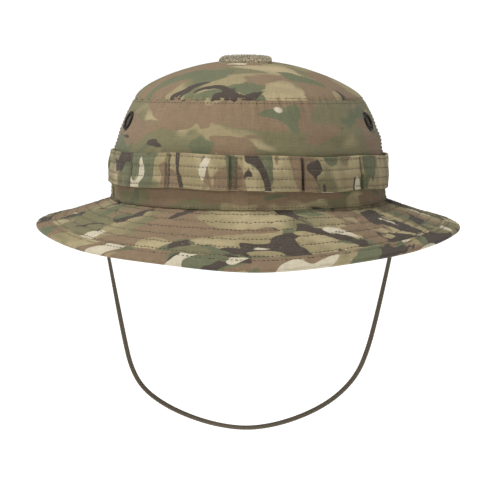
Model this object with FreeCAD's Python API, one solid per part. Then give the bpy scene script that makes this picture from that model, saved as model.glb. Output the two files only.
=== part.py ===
import FreeCAD, Part
import math
import os
from FreeCAD import Matrix, Placement, Vector

# A boonie hat: a soft cloth crown over a stitched brim, a looped band round the crown,
# four screened vents, a square of loop pile on top and one braided chin strap.
# Millimetres. +X is the wearer's left, the front of the hat faces -Y, +Z is up.
# The origin is the centre of the head opening, in the plane of the seam between crown and brim.

# ---- crown ----
crown_width = 188.0         # outside, across the head seam
crown_depth = 200.0         # outside, front to back
top_seam_height = 67.2      # from the head seam up to the seam of the top panel
top_seam_width = 155.6      # outside, across that seam
dome_rise = 26.5            # from that seam up to the highest point
crown_cloth = 0.8           # side wall and top panel
wall_curl = 2.6             # how late the side wall turns in: the power of its profile
dome_curl = 1.5             # how full the top panel is: the power of its profile
seam_gap = 0.1              # between cloths that are sewn edge to edge
side_seam_half_gap = 0.06   # degrees of turn left open at each side seam

# ---- brim ----
brim_width = 54.8           # along its slope, from the head seam to the folded edge
brim_slope = 25.0           # degrees down from level, all round on average
brim_wave = 6.2             # how much steeper at front and back than at the sides
brim_nod = 3.0              # how much steeper at the front than at the back
brim_cloth = 0.6
interlining_thickness = 1.0
ply_gap = 0.05              # between the layers of the brim
interlining_margin = 4.0    # its edge stops this far inside the fold
binding_width = 11.0
binding_cloth = 0.5
brim_sections = 24

# ---- sweatband ----
sweatband_height = 26.0
sweatband_thickness = 1.0
sweatband_gap = 0.4         # off the side wall

# ---- looped band ----
band_bottom = 12.3
band_height = 21.7
band_cloth = 1.0
loop_depth = 3.3            # open space between crown and band, in the middle of a loop
tack_gap = 0.25             # the same where the band is sewn down
loop_fullness = 6           # how squarely a loop stands out: an even power
loop_steps = 8              # points along one loop
band_steps = 3              # straight stretches up the band's height
tack_angles = (-79.0, -52.6, -31.7, -5.0, 20.7, 48.2, 68.0, 92.0,
               118.0, 144.0, 170.0, 196.0, 222.0, 251.0)
tack_width = 1.5
tack_thickness = 0.5
tack_seat = 0.1             # between the thread's block and the band
tack_margin = 0.8           # left free above and below each tack

# ---- vents ----
vent_angles = (68.0, 112.0, -112.0, -68.0)
vent_drop = 14.2            # vent centres below the top seam
eyelet_bore = 9.8
barrel_wall = 0.6
eyelet_flange_diameter = 13.6
eyelet_flange = 0.7
barrel_clearance = 0.2      # round the barrel, in the cloth and in the washer
washer_diameter = 13.0
washer_thickness = 0.6
cloth_bow = 0.6             # how far the curved cloth stands off a flat ring inside
flange_seat = 0.05
screen_thickness = 0.4
screen_clearance = 0.1
screen_pitch = 1.5
screen_wire = 0.5

# ---- loop pile ----
patch_side = 35.0
patch_thickness = 3.4       # at its middle
patch_corner = 3.0
patch_seat = 0.05
patch_forward = 10.0        # its centre, ahead of the crown's middle

# ---- chin strap ----
strap_width = 3.4           # the braid's width, the diameter of its plain tube
bore_clearance = 0.1
tab_width = 10.0
tab_thickness = 3.8
tab_gap = 0.4               # off the sweatband
tab_bottom = -12.5
tab_top = 7.0
tab_round = 1.0
strap_pivot_height = -8.0
arc_share = 0.45

# The strap's route in the plane y = 0, from the hat's left to its right as seen from the front.
strap_route = (
    (-87.0, -8.0), (-93.3, -8.0), (-98.8, -11.4), (-101.9, -17.5), (-101.2, -26.9),
    (-98.9, -40.7), (-94.0, -65.0), (-86.4, -100.0), (-81.2, -120.0), (-73.5, -134.5),
    (-60.0, -145.7), (-43.0, -154.5), (-23.0, -161.0), (-2.0, -163.9), (17.5, -161.5),
    (36.5, -155.5), (53.5, -147.0), (67.0, -136.2), (78.0, -122.5), (84.6, -106.0),
    (89.6, -86.0), (94.4, -64.0), (99.0, -41.0), (101.2, -26.9), (101.9, -17.5),
    (98.8, -11.4), (93.3, -8.0), (87.0, -8.0),
)

# ---- worked out ----
half_width = crown_width / 2
half_depth = crown_depth / 2
plan_stretch = crown_depth / crown_width
seam_radius = top_seam_width / 2
crown_top = top_seam_height + dome_rise
band_top = band_bottom + band_height
vent_height = top_seam_height - vent_drop
barrel_radius = eyelet_bore / 2 + barrel_wall
sweatband_inside = half_width - crown_cloth - sweatband_gap - sweatband_thickness
tab_inner_face = sweatband_inside - tab_gap - tab_thickness
z_axis = Vector(0, 0, 1)


def wall_radius(z):
    """Outside half-width of the side wall at height z."""
    share = max(z, 0.0) / top_seam_height
    return half_width - (half_width - seam_radius) * share ** wall_curl


def crown_point(angle, z, stand_off=0.0):
    """Point on the side wall. The angle is in degrees from the front, positive towards +X."""
    turn = math.radians(angle)
    radius = wall_radius(z) + stand_off
    return Vector(radius * math.sin(turn), -radius * plan_stretch * math.cos(turn), z)


def crown_normal(angle, z):
    """Unit vector out of the side wall."""
    across = crown_point(angle + 0.5, z) - crown_point(angle - 0.5, z)
    up = crown_point(angle, z + 0.5) - crown_point(angle, z - 0.5)
    return across.cross(up).normalize()


def spline_edge(points):
    curve = Part.BSplineCurve()
    curve.interpolate(points)
    return curve.toShape()


def ring_of_profile(profile, first_angle, span):
    """Turn a profile that lies in the XZ plane about Z, then stretch it to the head's plan."""
    profile = profile.copy()
    profile.rotate(Vector(0, 0, 0), z_axis, first_angle - 90.0)
    solid = profile.revolve(Vector(0, 0, 0), z_axis, span)
    stretch = Matrix()
    stretch.A22 = plan_stretch
    return solid.transformGeometry(stretch)


def wall_profile(bottom, top, outer_offset, thickness):
    """Face between two lines that follow the side wall, from bottom to top."""
    steps = 8
    heights = [bottom + (top - bottom) * i / steps for i in range(steps + 1)]
    outer = [Vector(wall_radius(z) - outer_offset, 0, z) for z in heights]
    inner = [p - Vector(thickness, 0, 0) for p in outer]
    edges = [
        spline_edge(outer),
        Part.makeLine(outer[-1], inner[-1]),
        spline_edge(inner),
        Part.makeLine(inner[0], outer[0]),
    ]
    return Part.Face(Part.Wire(Part.__sortEdges__(edges)))


def dome_line(radius, rise, base):
    """Half of the top panel's outline: radius x sin, rise x cos to the power of its curl."""
    steps = 12
    turns = [math.pi / 2 * i / steps for i in range(steps + 1)]
    return [Vector(radius * math.sin(a), 0, base + rise * abs(math.cos(a)) ** dome_curl) for a in turns]


def make_top_panel():
    base = top_seam_height + seam_gap
    rise = dome_rise - seam_gap
    outer = dome_line(seam_radius, rise, base)
    inner = dome_line(seam_radius - crown_cloth, rise - crown_cloth, base)
    edges = [
        spline_edge(outer),
        Part.makeLine(outer[-1], inner[-1]),
        spline_edge(inner),
        Part.makeLine(inner[0], outer[0]),
    ]
    return ring_of_profile(Part.Face(Part.Wire(Part.__sortEdges__(edges))), 0.0, 360.0)


def vent_frame(angle):
    """Placement whose +Z points out of the cloth at a vent."""
    turn = FreeCAD.Rotation(z_axis, crown_normal(angle, vent_height))
    return Placement(crown_point(angle, vent_height), turn)


def placed(shape, frame):
    shape = shape.copy()
    shape.Placement = frame.multiply(shape.Placement)
    return shape


def vent_hole(angle):
    hole = Part.makeCylinder(barrel_radius + barrel_clearance, 12.0, Vector(0, 0, -6.0))
    return placed(hole, vent_frame(angle))


def make_side(first_angle, span, vents):
    profile = wall_profile(seam_gap, top_seam_height, 0.0, crown_cloth)
    side = ring_of_profile(profile, first_angle + side_seam_half_gap, span - 2 * side_seam_half_gap)
    for angle in vents:
        side = side.cut(vent_hole(angle))
    return side


def make_sweatband():
    bottom = seam_gap
    profile = wall_profile(bottom, bottom + sweatband_height, crown_cloth + sweatband_gap, sweatband_thickness)
    return ring_of_profile(profile, 0.0, 360.0)


def brim_frame(angle):
    """Root of the brim, the way down its slope and the way out of its upper side."""
    turn = math.radians(angle)
    root_width = half_width - crown_cloth
    root_depth = half_depth - crown_cloth
    root = Vector(root_width * math.sin(turn), -root_depth * math.cos(turn), 0)
    out = Vector(math.sin(turn) / root_width, -math.cos(turn) / root_depth, 0).normalize()
    slope = math.radians(brim_slope + brim_wave * math.cos(2 * turn) + brim_nod * math.cos(turn))
    down = out * math.cos(slope) - z_axis * math.sin(slope)
    face = out * math.sin(slope) + z_axis * math.cos(slope)
    return root, down, face


def brim_ring(outline):
    """Carry a closed outline of (along the slope, out of the upper side) round the brim."""
    wires = []
    for i in range(brim_sections):
        root, down, face = brim_frame(360.0 * i / brim_sections)
        points = [root + down * u + face * v for u, v in outline]
        wires.append(Part.makePolygon(points + points[:1]))
    return Part.makeLoft(wires, True, False, True)


def layer(inner_edge, outer_edge, upper, thickness):
    return ((inner_edge, upper), (outer_edge, upper), (outer_edge, upper - thickness),
            (inner_edge, upper - thickness))


def make_brim():
    """Upper cloth, interlining, lower cloth and the strip folded round their edge."""
    cloth_edge = brim_width - binding_cloth - ply_gap
    core_top = -brim_cloth - ply_gap
    under_top = core_top - interlining_thickness - ply_gap
    under_bottom = under_top - brim_cloth
    top_face = ply_gap + binding_cloth
    bottom_face = under_bottom - ply_gap - binding_cloth
    fold = brim_width - binding_width
    binding = (
        (fold, ply_gap), (fold, top_face), (brim_width, top_face), (brim_width, bottom_face),
        (fold, bottom_face), (fold, under_bottom - ply_gap), (cloth_edge + ply_gap, under_bottom - ply_gap),
        (cloth_edge + ply_gap, ply_gap),
    )
    return {
        "brim_top": brim_ring(layer(0.0, cloth_edge, 0.0, brim_cloth)),
        "brim_interlining": brim_ring(layer(0.0, cloth_edge - interlining_margin, core_top, interlining_thickness)),
        "brim_underlayer": brim_ring(layer(0.0, cloth_edge, under_top, brim_cloth)),
        "brim_binding": brim_ring(binding),
    }


def band_outline(z, extra):
    """Closed curve round the crown at height z: close to it at each tack, bowed out between."""
    points = []
    count = len(tack_angles)
    for i in range(count):
        start = tack_angles[i]
        end = tack_angles[(i + 1) % count]
        span = (end - start) % 360.0
        for step in range(loop_steps):
            share = step / loop_steps
            bow = 1.0 - math.cos(math.pi * share) ** loop_fullness
            depth = tack_gap + (loop_depth - tack_gap) * bow
            points.append(crown_point(start + span * share, z, depth + extra))
    curve = Part.BSplineCurve()
    curve.interpolate(Points=points, PeriodicFlag=True)
    return Part.Wire(curve.toShape())


def steps_between(bottom, top):
    return [bottom + (top - bottom) * i / band_steps for i in range(band_steps + 1)]


def band_solid(heights, extra):
    return Part.makeLoft([band_outline(z, extra) for z in heights], True, True)


def make_band():
    past = 1.0
    heights = steps_between(band_bottom, band_top)
    outer = band_solid(heights, band_cloth)
    inner = band_solid([band_bottom - past] + heights[1:-1] + [band_top + past], 0.0)
    return outer.cut(inner)


def make_tack(angle):
    """Upright block of thread that follows the band's slope, as wide as its zigzag."""
    heights = steps_between(band_bottom, band_top)
    heights[0] += tack_margin
    heights[-1] -= tack_margin
    turn = math.radians(angle)
    along = Vector(math.cos(turn), plan_stretch * math.sin(turn), 0).normalize() * (tack_width / 2)
    near = tack_gap + band_cloth + tack_seat
    wires = []
    for z in heights:
        inner = crown_point(angle, z, near)
        outer = crown_point(angle, z, near + tack_thickness)
        wires.append(Part.makePolygon([inner - along, inner + along, outer + along, outer - along, inner - along]))
    return Part.makeLoft(wires, True, True)


def make_tacks():
    """The tacks that sew the band down, one at each end of every loop."""
    return Part.makeCompound([make_tack(angle) for angle in tack_angles])


def make_eyelet(angle):
    """Flanged ring of spun sheet: a rounded flange outside, its barrel through the cloth."""
    bore = eyelet_bore / 2
    flange_radius = eyelet_flange_diameter / 2
    barrel_end = -(crown_cloth + cloth_bow + washer_thickness)
    rounding = eyelet_flange * 0.6
    base = flange_seat
    points = (
        Vector(bore, 0, barrel_end), Vector(barrel_radius, 0, barrel_end), Vector(barrel_radius, 0, base),
        Vector(flange_radius, 0, base), Vector(flange_radius - rounding, 0, base + eyelet_flange),
        Vector(bore + rounding, 0, base + eyelet_flange), Vector(bore, 0, base + eyelet_flange - rounding),
    )
    face = Part.Face(Part.makePolygon(points + points[:1]))
    return placed(face.revolve(Vector(0, 0, 0), z_axis, 360.0), vent_frame(angle))


def make_washer(angle):
    bottom = -(crown_cloth + cloth_bow + washer_thickness)
    ring = Part.makeCylinder(washer_diameter / 2, washer_thickness, Vector(0, 0, bottom))
    hole = Part.makeCylinder(barrel_radius + barrel_clearance, 3 * washer_thickness, Vector(0, 0, bottom - 0.5))
    return placed(ring.cut(hole), vent_frame(angle))


def make_screen(angle):
    """Disc across the barrel, pierced by a square grid of openings."""
    radius = eyelet_bore / 2 - screen_clearance
    disc = Part.makeCylinder(radius, screen_thickness, Vector(0, 0, -screen_thickness))
    opening = screen_pitch - screen_wire
    reach = int(radius / screen_pitch)
    rim = radius - screen_wire
    holes = []
    for i in range(-reach, reach + 1):
        for j in range(-reach, reach + 1):
            corner = math.hypot(abs(i) * screen_pitch + opening / 2, abs(j) * screen_pitch + opening / 2)
            if corner < rim:
                place = Vector(i * screen_pitch - opening / 2, j * screen_pitch - opening / 2, -1.0)
                holes.append(Part.makeBox(opening, opening, 2.0, place))
    return placed(disc.cut(holes), vent_frame(angle))


def make_patch():
    """Square of pile with a flat top, its underside lying on the dome."""
    half = patch_side / 2
    top = crown_top + patch_thickness
    corner = Vector(-half, -half - patch_forward, top - dome_rise)
    reach = Part.makeBox(patch_side, patch_side, dome_rise, corner)
    upright = [e for e in reach.Edges if abs(e.Vertexes[0].Z - e.Vertexes[1].Z) > 1.0]
    block = reach.makeFillet(patch_corner, upright)
    line = dome_line(seam_radius + patch_seat, dome_rise + patch_seat, top_seam_height)
    base = Vector(0, 0, top_seam_height)
    edges = [spline_edge(line), Part.makeLine(line[-1], base), Part.makeLine(base, line[0])]
    dome = ring_of_profile(Part.Face(Part.Wire(Part.__sortEdges__(edges))), 0.0, 360.0)
    below = Part.makeBox(crown_width, crown_width, top_seam_height,
                         Vector(-half_width, -half_width, 0))
    return block.cut([dome, below])


def make_tab(side):
    """Folded tape sewn inside the head seam, with the hole that the strap hangs through."""
    length = tab_top - tab_bottom
    block = Part.makeBox(tab_thickness, tab_width, length, Vector(tab_inner_face, -tab_width / 2, tab_bottom))
    upright = [e for e in block.Edges if abs(e.Vertexes[0].Z - e.Vertexes[1].Z) > 1.0]
    block = block.makeFillet(tab_round, upright)
    bore = Part.makeCylinder(strap_width / 2 + bore_clearance, 3 * tab_thickness,
                             Vector(tab_inner_face - tab_thickness, 0, strap_pivot_height), Vector(1, 0, 0))
    block = block.cut(bore)
    if side < 0:
        block = block.mirror(Vector(0, 0, 0), Vector(1, 0, 0))
    return block


def strap_path():
    """Straight runs joined by the largest tangent arcs that the runs allow."""
    points = [Vector(x, 0, z) for x, z in strap_route]
    edges = []
    radii = []
    start = points[0]
    for before, corner, after in zip(points, points[1:], points[2:]):
        back = before - corner
        on = after - corner
        reach = arc_share * min(back.Length, on.Length)
        half_turn = (math.pi - back.getAngle(on)) / 2
        radius = reach / math.tan(half_turn)
        back.normalize()
        on.normalize()
        first = corner + back * reach
        last = corner + on * reach
        middle_way = (back + on).normalize()
        middle = corner + middle_way * (radius / math.cos(half_turn) - radius)
        edges.append(Part.LineSegment(start, first).toShape())
        edges.append(Part.Arc(first, middle, last).toShape())
        radii.append(radius)
        start = last
    edges.append(Part.LineSegment(start, points[-1]).toShape())
    return Part.Wire(edges), radii


def make_strap():
    path, radii = strap_path()
    start = Vector(strap_route[0][0], 0, strap_route[0][1])
    section = Part.Wire(Part.makeCircle(strap_width / 2, start, Vector(-1, 0, 0)))
    tube = path.makePipeShell([section], True, False)
    print("strap length %.1f mm" % path.Length)
    print("strap radii mm:", ", ".join("%.1f" % r for r in radii))
    expected = math.pi * (strap_width / 2) ** 2 * path.Length
    print("strap volume %.1f mm3, section x length %.1f mm3" % (tube.Volume, expected))
    return tube


def make_parts():
    front = [a for a in vent_angles if abs(a) < 90.0]
    back = [a for a in vent_angles if abs(a) > 90.0]
    parts = {
        "crown_top_panel": make_top_panel(),
        "crown_side_front": make_side(-90.0, 180.0, front),
        "crown_side_back": make_side(90.0, 180.0, back),
        "sweatband": make_sweatband(),
        "foliage_band": make_band(),
        "foliage_band_bartacks": make_tacks(),
        "loop_patch": make_patch(),
        "chin_strap_tab_left": make_tab(-1),
        "chin_strap_tab_right": make_tab(1),
        "chin_strap": make_strap(),
    }
    parts.update(make_brim())
    for number, angle in enumerate(vent_angles, 1):
        parts["vent_eyelet_%d" % number] = make_eyelet(angle)
        parts["vent_screen_%d" % number] = make_screen(angle)
        parts["vent_washer_%d" % number] = make_washer(angle)
    return parts


os.makedirs("parts", exist_ok=True)
for name, shape in make_parts().items():
    shape.exportStep("parts/%s.step" % name)
    print("%-24s valid %s solids %d volume %.1f mm3" % (name, shape.isValid(), len(shape.Solids), shape.Volume))
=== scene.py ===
import math

import bpy
import numpy as np
from mathutils import Matrix, Vector


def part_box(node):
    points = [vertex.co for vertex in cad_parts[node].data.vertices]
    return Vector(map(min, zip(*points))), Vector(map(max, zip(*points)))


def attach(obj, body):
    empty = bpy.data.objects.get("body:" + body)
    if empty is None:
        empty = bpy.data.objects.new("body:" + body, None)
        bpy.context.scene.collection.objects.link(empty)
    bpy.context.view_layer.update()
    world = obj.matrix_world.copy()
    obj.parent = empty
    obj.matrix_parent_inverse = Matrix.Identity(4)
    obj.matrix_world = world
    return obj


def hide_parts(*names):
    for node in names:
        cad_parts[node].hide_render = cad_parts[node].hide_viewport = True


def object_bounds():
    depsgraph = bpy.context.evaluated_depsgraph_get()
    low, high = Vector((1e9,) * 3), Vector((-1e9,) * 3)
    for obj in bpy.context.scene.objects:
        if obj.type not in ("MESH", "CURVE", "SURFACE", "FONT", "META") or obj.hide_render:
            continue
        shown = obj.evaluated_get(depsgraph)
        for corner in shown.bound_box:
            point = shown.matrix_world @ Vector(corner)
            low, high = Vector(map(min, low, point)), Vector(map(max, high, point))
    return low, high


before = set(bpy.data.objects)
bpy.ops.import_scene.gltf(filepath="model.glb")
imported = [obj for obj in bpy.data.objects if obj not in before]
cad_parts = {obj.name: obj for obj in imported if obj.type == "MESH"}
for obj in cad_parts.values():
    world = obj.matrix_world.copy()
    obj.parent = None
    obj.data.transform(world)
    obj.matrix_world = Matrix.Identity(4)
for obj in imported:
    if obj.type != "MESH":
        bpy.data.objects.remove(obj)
cad_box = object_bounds()

# --------------------
# Camera, lamps and floor. The hat is seen from the front at eye level, a little from above,
# in the soft even light of a white studio. Nothing here is part of the hat.
eye = Vector((0.0012, -0.930, 0.0779))
eye_pitch = math.radians(7.04)
eye_roll = math.radians(0.27)
sensor_width = 36.0
focal_length = 97.2
floor_drop = 0.8
floor_half = 30.0

camera_data = bpy.data.cameras.new("studio_camera")
camera_data.sensor_width = sensor_width
camera_data.lens = focal_length
camera_data.clip_start = 0.05
camera = bpy.data.objects.new("studio_camera", camera_data)
look = Matrix.Rotation(math.pi / 2 - eye_pitch, 4, "X") @ Matrix.Rotation(eye_roll, 4, "Z")
camera.matrix_world = Matrix.Translation(eye) @ look
bpy.context.scene.collection.objects.link(camera)
bpy.context.scene.camera = camera
bpy.context.scene.view_settings.view_transform = "Standard"


def soft_lamp(name, place, target, size, watts):
    """A square area lamp at a place, turned to face a target."""
    data = bpy.data.lights.new(name, "AREA")
    data.size = size
    data.energy = watts
    lamp = bpy.data.objects.new(name, data)
    lamp.location = place
    lamp.rotation_euler = (Vector(target) - Vector(place)).to_track_quat("-Z", "Y").to_euler()
    bpy.context.scene.collection.objects.link(lamp)


soft_lamp("lamp_above", (-0.40, -0.40, 1.5), (0, 0, 0.03), 0.7, 24)
soft_lamp("lamp_left", (-1.5, -1.3, 0.7), (0, 0, 0), 0.8, 12)
soft_lamp("lamp_right", (1.6, -1.0, 0.6), (0, 0, 0), 0.8, 3)

# The room's white walls give less light than the lamps do, but look white themselves.
room_light = 0.26
room_look = 1.05
world = bpy.data.worlds.new("studio")
world.use_nodes = True
room = world.node_tree
seen = room.nodes.new("ShaderNodeLightPath")
strength = room.nodes.new("ShaderNodeMapRange")
strength.inputs["To Min"].default_value = room_light
strength.inputs["To Max"].default_value = room_look
room.links.new(seen.outputs["Is Camera Ray"], strength.inputs["Value"])
room.links.new(strength.outputs["Result"], room.nodes["Background"].inputs["Strength"])
room.nodes["Background"].inputs["Color"].default_value = (1, 1, 1, 1)
bpy.context.scene.world = world

floor_mesh = bpy.data.meshes.new("floor")
floor_z = cad_box[0].z - floor_drop
corners = ((-1, -1), (1, -1), (1, 1), (-1, 1))
floor_mesh.from_pydata([(x * floor_half, y * floor_half, floor_z) for x, y in corners], [], [(0, 1, 2, 3)])
floor = bpy.data.objects.new("floor", floor_mesh)
bpy.context.scene.collection.objects.link(floor)
floor_paint = bpy.data.materials.new("pale_floor")
floor_paint.use_nodes = True
floor_white = {"Base Color": (0.93, 0.93, 0.93, 1), "Roughness": 0.9, "Emission Color": (1, 1, 1, 1),
               "Emission Strength": 0.95}
for socket, value in floor_white.items():
    floor_paint.node_tree.nodes["Principled BSDF"].inputs[socket].default_value = value
floor_mesh.materials.append(floor_paint)

# --------------------
# Chin strap: one flat braid of dark olive polyester, sewn through a tab at each side of the
# head opening. It twists edge-on beside the hat and turns its flat to the front below.
strap_width = 0.0034
strap_thickness = 0.0016
strap_route = (
    (-0.0870, -0.0080), (-0.0933, -0.0080), (-0.0988, -0.0114), (-0.1012, -0.0175), (-0.1000, -0.0269),
    (-0.0972, -0.0407), (-0.0929, -0.0650), (-0.0864, -0.1000), (-0.0819, -0.1200), (-0.0742, -0.1345),
    (-0.0605, -0.1457), (-0.0430, -0.1545), (-0.0230, -0.1610), (-0.0020, -0.1639), (0.0175, -0.1615),
    (0.0365, -0.1555), (0.0535, -0.1470), (0.0665, -0.1370), (0.0775, -0.1235), (0.0842, -0.1060),
    (0.0891, -0.0860), (0.0938, -0.0640), (0.0984, -0.0410), (0.1008, -0.0269), (0.1018, -0.0175),
    (0.0988, -0.0114), (0.0933, -0.0080), (0.0870, -0.0080),
)
strap_steps = 1400
strap_sides = 20
strap_dark = (0.072, 0.055, 0.032)
strap_light = (0.150, 0.120, 0.075)
plait_pitch = 0.0024


class Flow:
    """A value running through a material's nodes. Arithmetic on it adds the Math nodes for it."""

    def __init__(self, finish, socket):
        self.finish = finish
        self.socket = socket

    def math(self, operation, *given):
        return self.finish.node("ShaderNodeMath", {"operation": operation}, dict(enumerate(given)))

    def __add__(self, other):
        return self.math("ADD", self, other)

    def __sub__(self, other):
        return self.math("SUBTRACT", self, other)

    def __mul__(self, other):
        return self.math("MULTIPLY", self, other)

    def __truediv__(self, other):
        return self.math("DIVIDE", self, other)

    def __rsub__(self, other):
        return self.math("SUBTRACT", other, self)

    __radd__ = __add__
    __rmul__ = __mul__

    def sine(self):
        return self.math("SINE", self)

    def size(self):
        return self.math("ABSOLUTE", self)

    def fraction(self):
        return self.math("FRACT", self)

    def highest(self, other):
        return self.math("MAXIMUM", self, other)

    def over(self, level, softness):
        """0 below a level, 1 above it, with a smooth step that is as wide as the softness."""
        given = {"Value": self, "From Min": level - softness / 2, "From Max": level + softness / 2}
        return self.finish.node("ShaderNodeMapRange", {"interpolation_type": "SMOOTHSTEP"}, given)


class Finish:
    """One material: a Principled shader and the nodes that feed it."""

    def __init__(self, name, roughness, **fixed):
        self.material = bpy.data.materials.new(name)
        self.material.use_nodes = True
        self.tree = self.material.node_tree
        self.shader = self.tree.nodes["Principled BSDF"]
        self.shader.inputs["Roughness"].default_value = roughness
        for socket, value in fixed.items():
            self.shader.inputs[socket.replace("_", " ")].default_value = value

    def node(self, kind, settings, inputs, output=0):
        """Makes a node, applies its settings, then fills its sockets with values or links."""
        made = self.tree.nodes.new(kind)
        for name, value in settings.items():
            setattr(made, name, value)
        for name, value in inputs.items():
            if isinstance(value, Flow):
                self.tree.links.new(value.socket, made.inputs[name])
            else:
                made.inputs[name].default_value = value
        return Flow(self, made.outputs[output])

    def feed(self, socket, flow):
        self.tree.links.new(flow.socket, self.shader.inputs[socket])

    def surface_map(self):
        return self.node("ShaderNodeTexCoord", {}, {}, "UV")

    def place_map(self):
        return self.node("ShaderNodeTexCoord", {}, {}, "Object")

    def placed(self, vector, offset=(0, 0, 0), turn=0.0, scale=(1, 1, 1)):
        given = {"Vector": vector, "Location": offset, "Rotation": (0, 0, turn), "Scale": scale}
        return self.node("ShaderNodeMapping", {}, given)

    def across_and_along(self, vector):
        split = self.tree.nodes.new("ShaderNodeSeparateXYZ")
        self.tree.links.new(vector.socket, split.inputs[0])
        return Flow(self, split.outputs[0]), Flow(self, split.outputs[1])

    def noise(self, vector, scale, detail=2.0, roughness=0.5, distortion=0.0):
        given = {"Vector": vector, "Scale": scale, "Detail": detail, "Roughness": roughness,
                 "Distortion": distortion}
        return self.node("ShaderNodeTexNoise", {"noise_dimensions": "3D"}, given)

    def mixed(self, factor, first, second, blend="MIX"):
        rgba = [(*c, 1.0) if isinstance(c, tuple) else c for c in (first, second)]
        return self.node("ShaderNodeMix", {"data_type": "RGBA", "blend_type": blend},
                         {0: factor, 6: rgba[0], 7: rgba[1]}, 2)

    def raised(self, height, distance):
        self.feed("Normal", self.node("ShaderNodeBump", {}, {"Height": height, "Distance": distance}))


def new_piece(name, mesh, finish):
    """A visible piece of one mesh and one finish, at the hat's origin."""
    piece = bpy.data.objects.new(name, mesh)
    bpy.context.scene.collection.objects.link(piece)
    mesh.materials.append(finish.material)
    return piece


def surface(name, points, chart, finish, round_u=False, round_v=False, keep=None):
    """A smooth sheet of four-sided faces through a grid of points[u, v], charted by chart[u, v].
    A direction that goes round has its first line repeated as its last, and the two are one."""
    nu, nv = points.shape[:2]
    mu = nu - 1 if round_u else nu
    mv = nv - 1 if round_v else nv
    u, v = np.meshgrid(np.arange(nu - 1), np.arange(nv - 1), indexing="ij")
    u = np.stack([u, u + 1, u + 1, u], -1).reshape(-1, 4)
    v = np.stack([v, v, v + 1, v + 1], -1).reshape(-1, 4)
    if keep is not None:
        u, v = u[keep.ravel()], v[keep.ravel()]
    faces = (u % mu) * mv + v % mv
    used, faces = np.unique(faces, return_inverse=True)
    faces = faces.reshape(-1, 4)
    mesh = bpy.data.meshes.new(name)
    mesh.from_pydata(points[:mu, :mv].reshape(-1, 3)[used].tolist(), [], faces.tolist())
    mesh.uv_layers.new(name="chart").data.foreach_set("uv", chart[u, v].astype(np.float32).ravel())
    mesh.polygons.foreach_set("use_smooth", np.ones(len(faces), bool))
    mesh.update()
    return new_piece(name, mesh, finish)


def paired(first, second):
    """Two coordinates as the last axis of one array."""
    return np.stack(np.broadcast_arrays(first, second), -1)


def unit(vectors):
    return vectors / np.linalg.norm(vectors, axis=-1, keepdims=True)


def run_length(points):
    """Distance along a line of points, from its first."""
    return np.concatenate([[0.0], np.cumsum(np.linalg.norm(np.diff(points, axis=0), axis=1))])


def strap_line():
    """The strap's centre line: a smooth spline that the route's points pull on."""
    curve = bpy.data.curves.new("strap_line", "CURVE")
    curve.dimensions = "3D"
    curve.resolution_u = 64
    spline = curve.splines.new("NURBS")
    spline.points.add(len(strap_route) - 1)
    for point, (x, z) in zip(spline.points, strap_route):
        point.co = (x, 0.0, z, 1.0)
    spline.order_u = 3
    spline.use_endpoint_u = True
    holder = bpy.data.objects.new("strap_line", curve)
    line = bpy.data.meshes.new_from_object(holder)
    points = np.empty(len(line.vertices) * 3)
    line.vertices.foreach_get("co", points)
    bpy.data.objects.remove(holder)
    return points.reshape(-1, 3)


def squared(wave):
    """A wave with fuller crests: its size to the power of 0.8, with its sign kept."""
    return np.sign(wave) * np.abs(wave) ** 0.8


def strap_points(line):
    """The braid's skin: a flat rounded section with notched edges, turned about the line as it goes.
    across = width/2 x cos, through = thickness/2 x sin of the angle round the section."""
    length = run_length(line)
    share = np.linspace(0, 1, strap_steps)
    centre = np.stack([np.interp(share * length[-1], length, line[:, i]) for i in range(3)], -1)
    along = unit(np.gradient(centre, axis=0))
    front = np.array([0.0, -1.0, 0.0])
    inward = np.cross(along, front)
    down = np.sin(np.pi * share) ** 1.2
    edge_on = np.where(share < 0.5, 1.45, 1.0) * (1 - down)
    twist = edge_on + 0.22 * np.sin(share * 23.0) * np.sin(np.pi * share)
    flat = inward * np.cos(twist)[:, None] + front * np.sin(twist)[:, None]
    thick = np.cross(along, flat)
    angle = np.linspace(0, 2 * np.pi, strap_sides + 1)
    notch = 1 - 0.05 * np.abs(np.sin(np.pi * share * length[-1] / plait_pitch))[:, None]
    across = squared(np.cos(angle)) * strap_width / 2 * notch
    through = squared(np.sin(angle)) * strap_thickness / 2 * np.ones_like(notch)
    skin = centre[:, None] + across[..., None] * flat[:, None] + through[..., None] * thick[:, None]
    chart = np.stack([np.broadcast_to(share[:, None] * length[-1], across.shape), across], -1)
    return skin, chart, centre, length[-1]


braid = Finish("olive_braid", 0.85, Sheen_Weight=0.25)
run, side = braid.across_and_along(braid.surface_map())
left_plait = ((run / plait_pitch + side.size() / 0.0016) * math.tau).sine()
right_plait = ((run / plait_pitch * 2.0 - side.size() / 0.0016) * math.tau).sine()
plait = left_plait * 0.6 + right_plait * 0.4
strand = braid.noise(braid.placed(braid.surface_map(), scale=(1, 4, 1)), 900, 3)
braid.feed("Base Color", braid.mixed((plait * 0.25 + strand).over(0.55, 0.7), strap_dark, strap_light))
braid.raised(plait, 0.00025)

strap_skin, strap_chart, strap_path, strap_length = strap_points(strap_line())
strap = surface("chin_strap_braid", strap_skin, strap_chart, braid, round_v=True)
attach(strap, "chin_strap")
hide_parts("chin_strap")
tab_low, tab_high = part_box("chin_strap_tab_left")

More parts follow.
